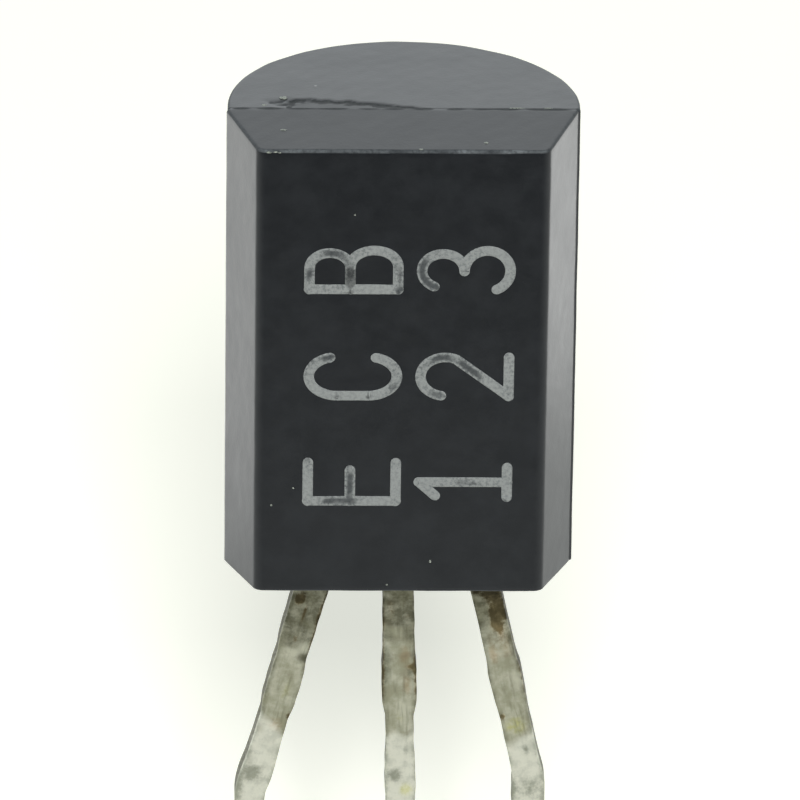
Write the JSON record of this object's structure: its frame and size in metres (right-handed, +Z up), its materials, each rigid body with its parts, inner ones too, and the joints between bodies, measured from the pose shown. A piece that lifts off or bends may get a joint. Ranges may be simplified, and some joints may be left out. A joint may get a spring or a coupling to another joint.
{
  "type": "transistor",
  "caption": "Bipolar transistor in a long D-shaped black moulded body with a flat front, bevelled sides, a round back and splayed tinned leads.",
  "frame": {"origin": "where the middle lead leaves the underside of the body, in the plane where the two mould halves met", "axes": "+Z up along the body, away from the leads; +Y from the flat front to the round back; +X to the right seen from the flat front"},
  "size_m": [0.006, 0.0047, 0.0225],
  "materials": {
    "moulded_epoxy": "matte moulded, slightly worn",
    "tinned_copper": "tarnished tin plate",
    "silicon": "polished",
    "solder": "dull",
    "gold_wire": "drawn"
  },
  "bodies": {
    "root": {"epoxy_body": "moulded_epoxy", "emitter_lead": "tinned_copper", "collector_lead": "tinned_copper", "base_lead": "tinned_copper", "silicon_die": "silicon", "die_attach": "solder", "emitter_bond_wire": "gold_wire", "base_bond_wire": "gold_wire"}
  },
  "joints": []
}
